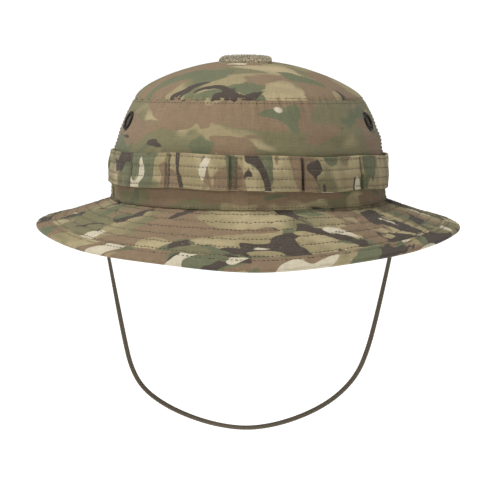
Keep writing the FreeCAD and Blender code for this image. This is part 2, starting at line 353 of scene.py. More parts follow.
# --------------------
# Crown side: two panels of printed ripstop, front and back, sewn together at the wearer's
# ears. The cloth leans in as it rises, puckers under the top seam and bears four vents.
side_low, side_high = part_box("crown_side_front")
top_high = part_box("crown_top_panel")[1]
half_width = side_high.x
half_depth = -side_low.y
seam_height = side_high.z
seam_half = top_high.x
plan_stretch = half_depth / half_width
crown_cloth = 0.0008
wall_curl = 2.6
side_columns = 300
side_rows = 60
tuck_rows = np.array([0.0004, 0.0016])
vent_angles = (68.0, 112.0, -112.0, -68.0)
vent_hole = 0.0057
khaki = (0.283, 0.231, 0.119)
pale_khaki = (0.382, 0.313, 0.174)
sage = (0.166, 0.148, 0.073)
brown = (0.208, 0.142, 0.081)
green = (0.122, 0.130, 0.066)
dark_brown = (0.058, 0.043, 0.031)
cream = (0.530, 0.470, 0.345)


def waves(position, lengths, seed):
    """A gentle uneven line: sines of the given lengths with seeded phases, from -1 to 1 or so."""
    phases = np.random.default_rng(seed).uniform(0, 2 * np.pi, len(lengths))
    return sum(np.sin(position * 2 * np.pi / w + p) for w, p in zip(lengths, phases)) / len(lengths) ** 0.5


def wall_radius(height):
    """Half-width less a share of the lean that grows as height to the power of the wall's curl."""
    share = np.clip(height, 0, seam_height) / seam_height
    return half_width - (half_width - seam_half) * share ** wall_curl


def around(turn, radius, height):
    """Points on the head's plan: radius x sin across, radius x stretch x cos to the front."""
    turn, radius, height = np.broadcast_arrays(turn, radius, height)
    return np.stack([radius * np.sin(turn), -radius * plan_stretch * np.cos(turn), height], -1)


def seam_puckers(turn, away):
    """The little bumps that the top seam draws both cloths into, fading with distance from it."""
    gather = waves(turn * seam_half, (0.0113, 0.0071, 0.0049), 5)
    return 0.00055 * gather * np.exp(-away / 0.0065) - 0.0005 * np.exp(-((away / 0.0016) ** 2))


def crown_points(turn, height, stand_off=0.0):
    """The side wall's outer face: its lean, soft folds, puckers under the top seam, a slight spread
    over the head seam and a groove at each side seam. Above the top seam it tucks inside."""
    turn, height = np.broadcast_arrays(turn, height)
    arc = turn * half_width
    under_seam = np.maximum(seam_height - height, 0.0)
    belly = np.sin(np.pi * height / seam_height)
    folds = 0.0007 * waves(arc + 0.3 * height, (0.083, 0.051, 0.037), 3) * belly
    creases = 0.0004 * waves(height + 0.06 * arc, (0.0212, 0.0137), 4) * belly ** 2
    hem = 0.0003 * waves(arc, (0.0131, 0.0083), 8) * np.exp(-height / 0.004)
    spread = 0.0006 * np.exp(-height / 0.0025)
    side_seam = -0.0004 * np.exp(-((np.abs(np.cos(turn)) * half_width / 0.0012) ** 2))
    tuck = -0.0005 * np.clip((height - seam_height) / 0.0004, 0, 1)
    relief = folds + creases + seam_puckers(turn, under_seam) + hem + spread + side_seam + tuck
    return around(turn, wall_radius(height) + relief + stand_off, height)


def camouflage(name, offset, turn=0.0, dark=0.0, brownness=0.0, drift=0.0, mossy=0.0, fine=1.0, flecks=0.0):
    """Ripstop cotton with a generic many-coloured field print: soft blotches of khaki, sage, brown
    and green under crisp dark branches and small pale flecks, over a fine weave and its grid.
    The drift makes one end of a panel browner than the other."""
    cloth = Finish(name, 0.92, Sheen_Weight=0.06)
    chart = cloth.surface_map()
    across, along = cloth.across_and_along(chart)
    print_map = cloth.placed(chart, offset, turn, (fine, fine, 1.0))
    flat_map = cloth.placed(print_map, scale=(0.60, 1.15, 1.0))
    blotch = cloth.noise(flat_map, 21, 2.6, 0.42, 0.35)
    patchy = cloth.noise(cloth.placed(flat_map, (3.1, 1.7, 0)), 27, 2.4, 0.45, 0.5)
    haze = cloth.noise(cloth.placed(flat_map, (7.3, 4.1, 0)), 20, 2.0)
    branch_map = cloth.placed(print_map, (11.9, 2.3, 0), 0.35, (0.60, 1.30, 1.0))
    branch = cloth.noise(branch_map, 25, 2.0, 0.45, 0.9)
    moss = cloth.noise(cloth.placed(flat_map, (5.7, 9.1, 0)), 17, 2.0, 0.45, 0.5)
    fleck_map = cloth.placed(print_map, (1.3, 6.6, 0), -0.3, (0.70, 1.45, 1.0))
    fleck = cloth.noise(fleck_map, 33, 0.3, 0.3, 0.2)
    ground = cloth.mixed(haze.over(0.53, 0.16), khaki, pale_khaki)
    ground = cloth.mixed(moss.over(0.52 - mossy, 0.07), ground, sage)
    ground = cloth.mixed((blotch + across * drift).over(0.515 - brownness, 0.018), ground, brown)
    ground = cloth.mixed(patchy.over(0.600, 0.022), ground, green)
    ground = cloth.mixed(branch.over(0.640 - dark, 0.012), ground, dark_brown)
    ground = cloth.mixed(fleck.over(0.735 - flecks, 0.012), ground, cream)
    weave = ((across * (math.tau / 0.0009)).sine()) * ((along * (math.tau / 0.0009)).sine())
    rib_u = ((across / 0.0056).fraction() - 0.5).size().over(0.465, 0.05)
    rib_v = ((along / 0.0056).fraction() - 0.5).size().over(0.465, 0.05)
    rib = rib_u.highest(rib_v)
    warp = cloth.noise(cloth.placed(chart, scale=(1.0, 0.12, 1.0)), 1100, 2, 0.6)
    weft = cloth.noise(cloth.placed(chart, (2.0, 5.0, 0), 0.0, (0.12, 1.0, 1.0)), 1100, 2, 0.6)
    worn = cloth.noise(chart, 60, 4, 0.6)
    shade = 0.49 + warp * 0.32 + weft * 0.38 + worn * 0.26 + rib * 0.03 + weave * 0.03
    grey = cloth.node("ShaderNodeCombineXYZ", {}, {0: shade, 1: shade, 2: shade})
    cloth.feed("Base Color", cloth.mixed(1.0, ground, grey, "MULTIPLY"))
    cloth.raised(weave * 0.35 + rib * 0.4 + warp * 0.4 + weft * 0.4 + worn * 1.6, 0.00024)
    return cloth


def thicken(piece, thickness, offset=-1.0):
    """Gives a single cloth face its real thickness, to its inner side unless told otherwise."""
    layer = piece.modifiers.new("thickness", "SOLIDIFY")
    layer.thickness = thickness
    layer.offset = offset
    layer.use_even_offset = True


def part_of_hat(piece, node):
    """The piece moves with the hat and stands for a CAD node, which it hides."""
    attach(piece, "hat")
    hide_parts(node)


def vent_distance(points):
    """How far each point is from the nearest vent's middle."""
    boxes = [[list(corner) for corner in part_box(f"vent_eyelet_{number}")] for number in (1, 2, 3, 4)]
    return np.linalg.norm(points[..., None, :] - np.mean(boxes, axis=1), axis=-1).min(-1)


def make_side(name, first, last, finish):
    """One panel from a first turn to a last one in degrees, with two rows tucked above the seam
    and no faces over the vents."""
    turns = np.radians(np.linspace(first, last, side_columns))
    heights = np.append(np.linspace(0.0001, seam_height, side_rows), seam_height + tuck_rows)
    points = crown_points(turns[:, None], heights[None, :])
    chart = paired(turns[:, None] * half_width, heights[None, :])
    middles = (points[1:, 1:] + points[:-1, :-1]) / 2
    side_panel = surface(name, points, chart, finish, keep=vent_distance(middles) > vent_hole)
    thicken(side_panel, crown_cloth)
    part_of_hat(side_panel, name.replace("_cloth", ""))


# The front panel's print is set mossier than the other panels', which darkens it: partly the print of this
# panel and partly painted shade for the light that falls on the crown front.
front_print_and_painted_shade = camouflage("front_panel_print_and_painted_shade", (0.31, 0.83, 0.0), dark=-0.005, brownness=0.010, drift=-0.45,
                         mossy=0.10, fine=1.5, flecks=-0.05)
make_side("crown_side_front_cloth", -90.0, 90.0, front_print_and_painted_shade)
back_print = camouflage("back_panel_print", (0.90, 0.12, 0.4), brownness=0.01)
make_side("crown_side_back_cloth", 90.0, 270.0, back_print)

# --------------------
# Crown top: one oval panel of the same cloth, domed by the fullness eased into its seam.
# It overhangs the seam a little and leans with the way the hat was set down.
crown_top = top_high.z
dome_curl = 1.5
dome_rings = 70
dome_columns = 320
dome_lean = 0.0022


def dome_points(turn, slant):
    """Radius x sin of the slant, rise x cos to the power of the dome's curl, plus the puckers
    at its seam and a few wide soft folds."""
    turn, slant = np.broadcast_arrays(turn, slant)
    rise = crown_top - seam_height
    curve = np.abs(np.cos(slant)) ** dome_curl
    arc = turn * seam_half
    folds = waves(arc + 0.05 * np.cos(slant), (0.097, 0.061, 0.043), 12)
    folds = folds * np.sin(slant) ** 3 * np.cos(slant)
    reach = seam_half + seam_puckers(turn, rise * curve) + 0.0016 * folds
    height = seam_height + (rise + 0.0018 * folds) * curve
    points = around(turn, reach * np.sin(slant), height)
    points[..., 0] -= dome_lean * (height - seam_height) / rise
    return points


dome_turn = np.linspace(0, 2 * np.pi, dome_columns + 1)
dome_slant = np.pi / 2 * (1 - np.linspace(0.997, 0, dome_rings) ** 1.5)
dome_grid = dome_points(dome_turn[:, None], dome_slant[None, :])[:, ::-1]
top_print = camouflage("top_panel_print", (0.22, 0.61, 0.9), dark=-0.005, brownness=0.010, fine=1.4,
                       flecks=-0.05)
top_cloth = surface("crown_top_cloth", dome_grid, dome_grid[..., :2], top_print, round_u=True)
thicken(top_cloth, crown_cloth)
part_of_hat(top_cloth, "crown_top_panel")

# --------------------
# Brim: an upper and a lower ring of printed cloth over a stiffener, quilted together by rings
# of lockstitch 8 mm apart, each in its own shallow groove. It dips at front and back.
brim_width = 0.0548
brim_slope = 25.0
brim_wave = 6.2
brim_nod = 3.0
stitch_rows = (0.0036, 0.0110, 0.0185, 0.0262, 0.0338, 0.0414)
binding_width = 0.0110
brim_cloth = 0.0006
brim_floor = -0.0023
brim_margin = 0.0020
brim_groove = 0.0013
brim_columns = 500
brim_lines = 94


def brim_points(turn, reach, up):
    """Down the brim's slope by its reach and out of its upper face by up. The slope in degrees is
    its mean plus a wave of cos 2 turn plus a nod of cos turn; soft ripples lift the cloth."""
    turn, reach, up = np.broadcast_arrays(turn, reach, up)
    root_width = half_width - crown_cloth
    root_depth = half_depth - crown_cloth
    root = np.stack([root_width * np.sin(turn), -root_depth * np.cos(turn), 0 * turn], -1)
    out = unit(np.stack([np.sin(turn) / root_width, -np.cos(turn) / root_depth, 0 * turn], -1))
    slope = np.radians(brim_slope + brim_wave * np.cos(2 * turn) + brim_nod * np.cos(turn))[..., None]
    level = np.array([0.0, 0.0, 1.0])
    down = out * np.cos(slope) - level * np.sin(slope)
    face = out * np.sin(slope) + level * np.cos(slope)
    share = reach / brim_width
    ripple = 0.0011 * waves(turn * 0.13, (0.27, 0.165, 0.104), 21) * share
    swell = 0.0020 * np.exp(-((turn - 0.42) / 0.20) ** 2) * np.exp(-((reach - 0.014) / 0.014) ** 2)
    curl = 0.0012 * share ** 3
    return root + down * reach[..., None] + face * (up + ripple + swell + curl)[..., None]


def quilting(turn, reach):
    """How deep the stitching draws the cloth in: a groove at each row, gathered along its length."""
    arc = turn * (half_width + reach)
    depth = np.zeros(np.broadcast(turn, reach).shape)
    for number, row in enumerate(stitch_rows):
        gather = 0.00046 + 0.00016 * waves(arc, (0.0094, 0.0063, 0.0041), 30 + number)
        depth += gather * np.exp(-(((reach - row) / brim_groove) ** 2))
    puff = 0.00030 * waves(arc, (0.0124, 0.0077), 44) * np.sin(np.pi * reach / 0.0075)
    sunk = 0.0007 * np.clip((reach - brim_width + binding_width) / 0.0010, 0, 1)
    return depth - puff + sunk


def brim_layer(name, node, lower, upper, finish):
    """One ring of the brim between two levels of its thickness, quilted on its outer face."""
    turns = np.linspace(-np.pi, np.pi, brim_columns + 1)
    reaches = np.linspace(0.0, brim_width - brim_margin, brim_lines)
    under = upper < 0
    sign = -1.0 if under else 1.0
    level = lower if under else upper
    turn, reach = np.meshgrid(turns, reaches, indexing="ij")
    points = brim_points(turn, reach, level - sign * quilting(turn, reach))
    flat = (half_width + reach)[..., None] * np.stack([np.sin(turn), -np.cos(turn)], -1)
    if not under:
        points, flat = points[::-1], flat[::-1]
    ring = surface(name, points, flat, finish, round_u=True)
    thicken(ring, upper - lower)
    part_of_hat(ring, node)


brim_print = camouflage("brim_print", (0.35, 0.55, 0.2), dark=0.06, brownness=-0.035, fine=1.5, flecks=0.01)
under_print = camouflage("brim_lower_print", (0.15, 0.95, 0.7), 0.4, dark=0.05, brownness=-0.03, fine=1.4)
brim_layer("brim_top_cloth", "brim_top", -brim_cloth, 0.0, brim_print)
brim_layer("brim_lower_cloth", "brim_underlayer", brim_floor, brim_floor + brim_cloth, under_print)

core_lines = 60
core_margins = (0.0010, 0.0045)
core_faces = (-0.00065, -0.00165)
core_give = 0.00045

core = Finish("stiffener", 0.9)
fluff = core.noise(core.surface_map(), 800, 2)
core.feed("Base Color", core.mixed(fluff, (0.36, 0.32, 0.24), (0.5, 0.46, 0.36)))
core_reach = np.linspace(core_margins[0], brim_width - core_margins[1], core_lines)
core_line = np.concatenate([core_reach, core_reach[::-1], core_reach[:1]])
turn, reach = np.meshgrid(np.linspace(-np.pi, np.pi, brim_columns + 1), core_line, indexing="ij")
above = np.append(np.arange(2 * core_lines) < core_lines, True)
drawn_in = np.clip(quilting(turn, reach), 0.0, core_give)
core_up = np.where(above, core_faces[0] - drawn_in, core_faces[1] + drawn_in)
core_grid = brim_points(turn, reach, core_up)[::-1]
stiffener = surface("brim_stiffener", core_grid, core_grid[..., :2], core, round_u=True, round_v=True)
part_of_hat(stiffener, "brim_interlining")

# --------------------
# Brim binding: a straight strip of the cloth folded over the brim's edge and stitched down
# through both sides, so its print doesn't run on from the brim's.
binding_columns = 700
binding_cloth = 0.0005
binding_top = 0.0005
binding_floor = -0.0029
binding_middle = -0.0012


def fold_profile():
    """The strip's closed section as (reach, up) points: over the top, round the edge in a half
    circle, back underneath, and home along its inner side."""
    middle = (binding_top + binding_floor) / 2
    radius = (binding_top - binding_floor) / 2
    straight = np.linspace(brim_width - binding_width + 0.0002, brim_width - radius, 12)
    bend = np.linspace(np.pi / 2, -np.pi / 2, 13)[1:-1]

    def folded(inset):
        """One layer of the fold, this far inside the outer one."""
        over = np.stack([straight, np.full(12, binding_top - inset)], -1)
        edge = np.stack([brim_width - radius + (radius - inset) * np.cos(bend),
                         middle + (radius - inset) * np.sin(bend)], -1)
        under = np.stack([straight[::-1], np.full(12, binding_floor + inset)], -1)
        return np.concatenate([over, edge, under])

    outer = folded(0.0)
    return np.concatenate([outer, folded(binding_cloth)[::-1], outer[:1]])


section = fold_profile()
turns = np.linspace(-np.pi, np.pi, binding_columns + 1)
turn, reach = np.meshgrid(turns, section[:, 0], indexing="ij")
up = np.broadcast_to(section[:, 1], reach.shape).copy()
stitch_reach = brim_width - binding_width + 0.0024
arc = turn * (half_width + brim_width)
draw = 0.0003 + 0.0001 * waves(arc, (0.0094, 0.0063), 51)
draw = draw * np.exp(-(((reach - stitch_reach) / 0.0012) ** 2))
on_top = up > binding_middle
up += np.where(on_top, -draw, draw) + 0.00018 * waves(arc, (0.0134, 0.0083), 52) * on_top
around_section = run_length(section)
chart = paired(arc, around_section[None, :])
binding_print = camouflage("binding_print", (0.75, 0.40, 0.5), 0.6, dark=0.05, brownness=-0.02, mossy=-0.03,
                           fine=1.4, flecks=0.04)
binding = surface("brim_binding_strip", brim_points(turn, reach, up)[::-1], chart[::-1], binding_print,
                  round_u=True, round_v=True)
part_of_hat(binding, "brim_binding")

# --------------------
# Looped band: one folded strip of the cloth, held with four rows of lockstitch and sewn down
# at uneven intervals. Between the tacks it stands off the crown and makes square-set loops.
band_low, band_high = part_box("foliage_band")
tack_angles = np.radians([-79.0, -52.6, -31.7, -5.0, 20.7, 48.2, 68.0, 92.0,
                          118.0, 144.0, 170.0, 196.0, 222.0, 251.0])
loop_edges = np.append(tack_angles, tack_angles[0] + 2 * np.pi)
tack_left = 0.001 * np.array([2.0, 1.2, 1.4, 4.0, 2.2, 2.2, 1.9, 2.1, 2.0, 2.3, 1.9, 2.2, 2.0, 2.1])
tack_right = 0.001 * np.array([0.6, 0.4, 0.5, 4.6, 0.3, 0.9, 0.4, 0.6, 0.5, 0.4, 0.9, 0.5, 0.7, 0.4])
tack_rise = 0.001 * np.array([1.4, 2.6, 2.2, 1.1, 0.8, 1.0, 1.0, 1.2, 1.1, 1.0, 1.2, 1.1, 1.0, 1.1])
tack_floor = np.array([0.1, 0.62, 0.5, 0.0, 0.0, 0.1, 0.0, 0.1, 0.0, 0.1, 0.0, 0.1, 0.0, 0.1])
loop_share = np.array([0.75, 0.85, 0.95, 1.0, 1.0, 0.95, 0.5, 0.55, 0.8, 0.9, 0.8, 0.9, 0.75, 0.4])
loop_lap = 0.0020
band_rows = (0.12, 0.36, 0.63, 0.91)
band_cloth = 0.0010
band_height = 0.0217
band_groove = 0.0008
loop_depth = 0.0033
tack_gap = 0.0003
band_sag = 0.0020
band_tilt = 0.0013
loop_columns = 72


def loop_bow(turn):
    """0 at a tack, near 1 between: a smooth step that starts at the edge of each tack's flat place,
    times a slight arch over the loop's length. Also gives the place along the loop, 0 to 1."""
    edges = loop_edges
    place = (turn - edges[0]) % (2 * np.pi) + edges[0]
    loop = np.clip(np.searchsorted(edges, place, side="right") - 1, 0, len(tack_angles) - 1)
    after = (loop + 1) % len(tack_angles)
    past = ((place - edges[loop]) * half_width - tack_right[loop]) / tack_rise[loop]
    left = ((edges[loop + 1] - place) * half_width - tack_left[after]) / tack_rise[after]
    along = (place - edges[loop]) / (edges[loop + 1] - edges[loop])
    floor_here = tack_floor[loop] + (tack_floor[after] - tack_floor[loop]) * (along > 0.5)
    step = np.clip(np.minimum(past, left), 0, 1)
    step = floor_here + (1 - floor_here) * step * step * (3 - 2 * step)
    return step * (0.88 + 0.12 * np.sin(np.pi * along)) * loop_share[loop], along


def band_points(turn, share, out):
    """On the band's outer face at a share of its height, and out of it. Each loop laps a little
    over the tack at its far end, leans by its own amount and gapes at its top beside the ears."""
    turn, share, out = np.broadcast_arrays(turn, share, out)
    bow, along = loop_bow(turn)
    arc = turn * half_width
    height = band_low.z + (band_high.z - band_low.z) * share
    height = height - band_sag * np.sin(turn) ** 2 - band_tilt * np.sin(turn)
    height = height + 0.0005 * waves(arc, (0.128, 0.066), 63)
    height = height - 0.0004 * np.sin(np.pi * along) * (share < 0.5)
    gape = bow * (share - 0.4) * (0.0010 * waves(arc, (0.171, 0.093), 61) + 0.0022 * np.sin(turn) ** 8)
    depth = tack_gap + (loop_depth - tack_gap) * bow + gape + band_cloth
    return crown_points(turn + loop_lap * bow * along / half_width, height, depth + out)


def band_face(turn, share):
    """How far the stitching draws the face in, with slight puckers between."""
    arc = turn * half_width
    drawn = sum(np.exp(-(((share - row) * band_height / band_groove) ** 2)) for row in band_rows)
    return -0.00034 * drawn + 0.00014 * waves(arc, (0.0094, 0.0061), 65)


def strip_section(low, high, rim, thickness, face_points, back_points):
    """A folded strip's closed section as (place up it, depth behind its face): up the face, over the
    folded top edge, down the back and under the folded bottom edge. Both folds are half ovals."""
    bend = np.linspace(0, np.pi, 7)[1:-1]
    face = np.stack([np.linspace(low + rim, high - rim, face_points), np.zeros(face_points)], -1)
    top = np.stack([high - rim + rim * np.sin(bend), thickness / 2 * (1 - np.cos(bend))], -1)
    back = np.stack([np.linspace(high - rim, low + rim, back_points), np.full(back_points, thickness)], -1)
    bottom = np.stack([low + rim - rim * np.sin(bend), thickness / 2 * (1 + np.cos(bend))], -1)
    return np.concatenate([face, top, back, bottom, face[:1]])


def loop_turns():
    """Turns round the band, closer together beside the tacks."""
    even = np.linspace(0, 1, loop_columns, endpoint=False)
    eased = even - 0.72 * np.sin(2 * np.pi * even) / (2 * np.pi)
    turns = loop_edges[:-1, None] + np.diff(loop_edges)[:, None] * eased
    return np.append(turns.ravel(), loop_edges[-1])


turns = loop_turns()
section = strip_section(0.0, 1.0, band_cloth / 2 / (band_high.z - band_low.z), band_cloth, 44, 12)
turn, share = np.meshgrid(turns, section[:, 0], indexing="ij")
depth = np.broadcast_to(section[:, 1], turn.shape)
pressed = np.where(depth < band_cloth / 2, band_face(turn, share), 0.0)
grid = band_points(turn, share, pressed - depth)
down_the_strip = run_length(band_points(turns, 0.5, 0.0))
section_run = run_length(np.stack([section[:, 0] * (band_high.z - band_low.z), section[:, 1]], -1))
chart = paired(down_the_strip[:, None], section_run[None, :])
# The band's print is set less brown and less mossy than the panels', which makes it paler: partly the
# band's own print and partly painted light for the upright band, which the lamps light less.
band_print_and_painted_light = camouflage("band_print_and_painted_light", (0.05, 0.36, 0.3), 1.45, dark=0.015, brownness=-0.090, mossy=-0.08,
                        fine=1.5, flecks=0.02)
band = surface("foliage_band_strip", grid, chart, band_print_and_painted_light, round_u=True, round_v=True)
part_of_hat(band, "foliage_band")

# --------------------
# Thread: olive-brown polyester lockstitch, each stitch a short strand that dips into the
# cloth at both ends. It quilts the brim, closes every seam and tacks the band down.
thread_radius = 0.00025
stitch_share = 0.80
stitch_rings = 5
stitch_sides = 5

thread = Finish("olive_thread_and_painted_shade", 0.7, Sheen_Weight=0.2)
ply = thread.noise(thread.place_map(), 1400, 2)
# The thread's colour is its own olive-brown set darker: partly painted shade that stands in for the shadow
# in its stitch holes.
thread.feed("Base Color", thread.mixed(ply, (0.075, 0.060, 0.035), (0.180, 0.148, 0.090)))
thread.raised(ply, 0.0001)


def stitches_along(points, normals, pitch, radius=thread_radius):
    """Strands laid end to end on a line: each ring is radius x (cos, sin) about a middle that
    rises between its ends and sinks at them, as 1 less the fourth power of its place."""
    length = run_length(points)
    count = max(1, int(length[-1] / pitch))
    starts = (np.arange(count) + 0.5) / count * length[-1]
    place = np.linspace(-1, 1, stitch_rings)
    at = starts[:, None] + place * pitch * stitch_share / 2
    middle = np.stack([np.interp(at, length, points[:, i]) for i in range(3)], -1)
    up = unit(np.stack([np.interp(at, length, normals[:, i]) for i in range(3)], -1))
    along = unit(np.gradient(middle, axis=1))
    across = np.cross(up, along)
    middle = middle + up * (radius * (1.0 - 2.2 * place ** 4))[:, None]
    angle = np.arange(stitch_sides) * 2 * np.pi / stitch_sides
    width = radius * (1 - 0.45 * place ** 4)[None, :, None, None]
    ring = np.cos(angle)[:, None] * across[:, :, None] + np.sin(angle)[:, None] * up[:, :, None]
    return (middle[:, :, None] + width * ring)[:, :, ::-1]


def tubes(name, points, finish):
    """One mesh of many equal tubes, points[tube, ring, side], each with a cap at both ends."""
    count, rings, sides = points.shape[:3]
    ring, side = np.meshgrid(np.arange(rings - 1) * sides, np.arange(sides), indexing="ij")
    after = (side + 1) % sides
    above = ring + sides
    one = np.stack([ring + side, above + side, above + after, ring + after], -1).reshape(-1, 4)
    end = np.arange(sides)
    caps = np.stack([end, end[::-1] + (rings - 1) * sides])
    first = np.arange(count)[:, None, None] * rings * sides
    faces = (one + first).reshape(-1, 4).tolist() + (caps + first).reshape(-1, sides).tolist()
    mesh = bpy.data.meshes.new(name)
    mesh.from_pydata(points.reshape(-1, 3).tolist(), [], faces)
    mesh.polygons.foreach_set("use_smooth", np.ones(len(mesh.polygons), bool))
    return new_piece(name, mesh, finish)


def thread_piece(name, strands, node=None):
    """All the stitches of one kind as one piece, which may stand for a CAD node."""
    piece = tubes(name, np.concatenate(strands), thread)
    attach(piece, "hat")
    if node:
        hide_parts(node)


def sewn(shape, turn, place, pitch, radius=thread_radius):
    """Stitches along a line on a surface function, standing out of it."""
    lift = 0.0005
    turn, place = np.broadcast_arrays(turn, place)
    points = shape(turn, place, 0.0)
    return stitches_along(points, unit(shape(turn, place, lift) - points), pitch, radius)


def sampled(first, last, length, step=0.0006):
    """Even places from first to last, a step apart on a line of that length."""
    return np.linspace(first, last, max(8, int(length / step)))


brim_pitch = 0.0027
brim_level = 0.00002
binding_sunk = 0.0003


def on_brim(level, way, quilted=True):
    """A face of the brim as a surface function: at a level, facing up (1) or down (-1), drawn in by
    the quilting where there is some."""
    def shape(turn, reach, out):
        drawn = quilting(turn, reach) if quilted else 0.0
        return brim_points(turn, reach, level + way * (out - drawn))
    return shape


def row_reach(turn, row, number):
    """A row's distance from the head seam: it wanders by a fraction of a millimetre."""
    return row + 0.0003 * waves(turn * half_width, (0.21, 0.094), 70 + number)


for name, shape in (("brim_top_stitching", on_brim(brim_level, 1)),
                    ("brim_lower_stitching", on_brim(brim_floor - brim_level, -1))):
    rows = []
    for number, row in enumerate(stitch_rows):
        turn = sampled(-np.pi, np.pi, 2 * np.pi * (half_width + row))
        rows.append(sewn(shape, turn, row_reach(turn, row, number), brim_pitch))
    thread_piece(name, rows)


turn = sampled(-np.pi, np.pi, 2 * np.pi * (half_width + brim_width))
binding_faces = (on_brim(binding_top - binding_sunk, 1, False),
                 on_brim(binding_floor + binding_sunk, -1, False))
thread_piece("binding_stitching", [sewn(shape, turn, stitch_reach, brim_pitch) for shape in binding_faces])

seam_pitch = 0.0025
seam_heights = (0.0014, seam_height - 0.0016)
beside_seam = 0.0024
turn = sampled(-np.pi, np.pi, 2 * np.pi * half_width)
seam_rows = [sewn(crown_points, turn, height, seam_pitch) for height in seam_heights]
rise = sampled(0.003, seam_height - 0.003, seam_height)
for ear in (-np.pi / 2, np.pi / 2):
    for beside in (-beside_seam, beside_seam):
        seam_rows.append(sewn(crown_points, ear + beside / half_width, rise, seam_pitch))
thread_piece("crown_seam_stitching", seam_rows)


def on_band(turn, share, out):
    """The band's outer face with its rows drawn in, and out of it."""
    return band_points(turn, share, band_face(turn, share) + out)


band_pitch = 0.0026
turn = loop_turns()
thread_piece("band_row_stitching", [sewn(on_band, turn, row, band_pitch) for row in band_rows])

tack_reach = 0.0011
tack_pitch = 0.0013
tack_thread = 0.0004
tack_points = 72
up_the_band = np.linspace(0.03, 0.97, tack_points)
zigzag = tack_reach / half_width * (np.abs((np.arange(tack_points) % 4) - 2.0) - 1.0)
tacks = [sewn(on_band, angle + zigzag, up_the_band, tack_pitch, tack_thread) for angle in tack_angles]
thread_piece("foliage_band_tack_thread", tacks, node="foliage_band_bartacks")

# --------------------
# Vents: blackened metal eyelets, a woven wire screen caught in each and a plain washer inside
# that the barrel is clinched on. Two stand at each side of the crown.
vent_height = 0.053
eyelet_bore = 0.0049
eyelet_rim = 0.0067
eyelet_wall = 0.0006
eyelet_seat = 0.0001
eyelet_rise = 0.0010
eyelet_barrel = 0.0020
screen_pitch = 0.00092
wire_radius = 0.00021
lathe_sides = 56

black_metal = Finish("blackened_metal", 0.42, Metallic=0.6, Specular_IOR_Level=0.5)
wear = black_metal.noise(black_metal.place_map(), 600, 4)
worn_through = wear.over(0.66, 0.12)
black_metal.feed("Base Color", black_metal.mixed(worn_through, (0.018, 0.016, 0.014), (0.11, 0.10, 0.08)))
black_metal.feed("Roughness", wear * 0.4 + 0.25)
black_metal.raised(wear, 0.00005)

screen_wire = Finish("screen_wire", 0.55, Metallic=0.4)
tone = screen_wire.noise(screen_wire.place_map(), 900, 2)
screen_wire.feed("Base Color", screen_wire.mixed(tone, (0.075, 0.058, 0.042), (0.150, 0.120, 0.088)))
screen_wire.raised(tone, 0.00005)


def vent_axes(angle):
    """Middle of a vent on the cloth and its three axes: along the crown, up it and out of it."""
    turn = math.radians(angle)
    side_step, up_step = 0.045, 0.004
    middle = crown_points(turn, vent_height)
    along = crown_points(turn + side_step, vent_height) - crown_points(turn - side_step, vent_height)
    across = unit(along)
    rise = crown_points(turn, vent_height + up_step) - crown_points(turn, vent_height - up_step)
    out = unit(np.cross(across, rise))
    return middle, across, np.cross(out, across), out


def placed_at(axes, points):
    """Points given in a vent's own axes, put in their place on the hat."""
    middle, across, rise, out = axes
    return middle + points[..., :1] * across + points[..., 1:2] * rise + points[..., 2:] * out


def lathe(section, sides):
    """Turns a closed section of (radius, height) points about the upright axis."""
    angle = np.linspace(0, 2 * np.pi, sides + 1)[:, None]
    radius, height = section[:, 0], section[:, 1]
    return np.stack([radius * np.cos(angle), radius * np.sin(angle), height + 0 * angle], -1)


def eyelet_section():
    """Barrel inside, a rolled flange outside: half an oval from the bore to the rim, then back
    under it to the barrel and down."""
    bend = np.linspace(0, np.pi, 17)
    middle, half = (eyelet_bore + eyelet_rim) / 2, (eyelet_rim - eyelet_bore) / 2
    flange = np.stack([middle - half * np.cos(bend), eyelet_seat + eyelet_rise * np.sin(bend) ** 0.7], -1)
    outside = eyelet_bore + eyelet_wall
    barrel = np.array([[outside, eyelet_seat], [outside, -eyelet_barrel], [eyelet_bore, -eyelet_barrel]])
    return np.concatenate([flange, barrel, flange[:1]])


def wire_weave():
    """Straight wires both ways across the bore, each passing over and under the others: its
    height is the wire's radius x cos of its place, the next one's turned by half a wave."""
    reach = int(eyelet_bore / screen_pitch)
    angle = np.arange(4) * 2 * np.pi / 4
    wires = []
    for number in range(-reach, reach + 1):
        offset = number * screen_pitch
        half = math.sqrt(max(eyelet_bore ** 2 - offset ** 2, 0.0)) * 0.99
        if half > screen_pitch:
            along = np.linspace(-half, half, 25)[:, None]
            lift = wire_radius * np.cos(np.pi * along / screen_pitch + np.pi * number)
            wide = offset + wire_radius * np.cos(angle)
            high = lift + wire_radius * np.sin(angle) - 0.0004
            wires.append(np.stack(np.broadcast_arrays(along, wide, high), -1))
            wires.append(np.stack(np.broadcast_arrays(wide, along, high - 2 * lift), -1)[::-1])
    return np.array(wires)


for number, angle in enumerate(vent_angles, 1):
    axes = vent_axes(angle)
    ring = placed_at(axes, lathe(eyelet_section(), lathe_sides))
    eyelet = surface(f"vent_eyelet_ring_{number}", ring, ring[..., :2], black_metal,
                     round_u=True, round_v=True)
    screen = tubes(f"vent_screen_wire_{number}", placed_at(axes, wire_weave()), screen_wire)
    part_of_hat(eyelet, f"vent_eyelet_{number}")
    part_of_hat(screen, f"vent_screen_{number}")
    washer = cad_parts[f"vent_washer_{number}"]
    washer.data.materials.clear()
    washer.data.materials.append(black_metal.material)

# --------------------
# Loop patch: a square of khaki loop pile on a woven backing, sewn down round its edge on top
# of the crown. Its surface is a bed of small soft loops.
patch_low, patch_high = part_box("loop_patch")
patch_half = patch_high.x
patch_middle = (patch_low.y + patch_high.y) / 2
patch_thickness = 0.0026
patch_corner = 0.003
patch_rows = 48
patch_roll = 0.0015
pile_pitch = 0.00125
pile_height = 0.0016
pile_reach = 0.0007
pile_root = 0.0004
pile_thread = 0.00024

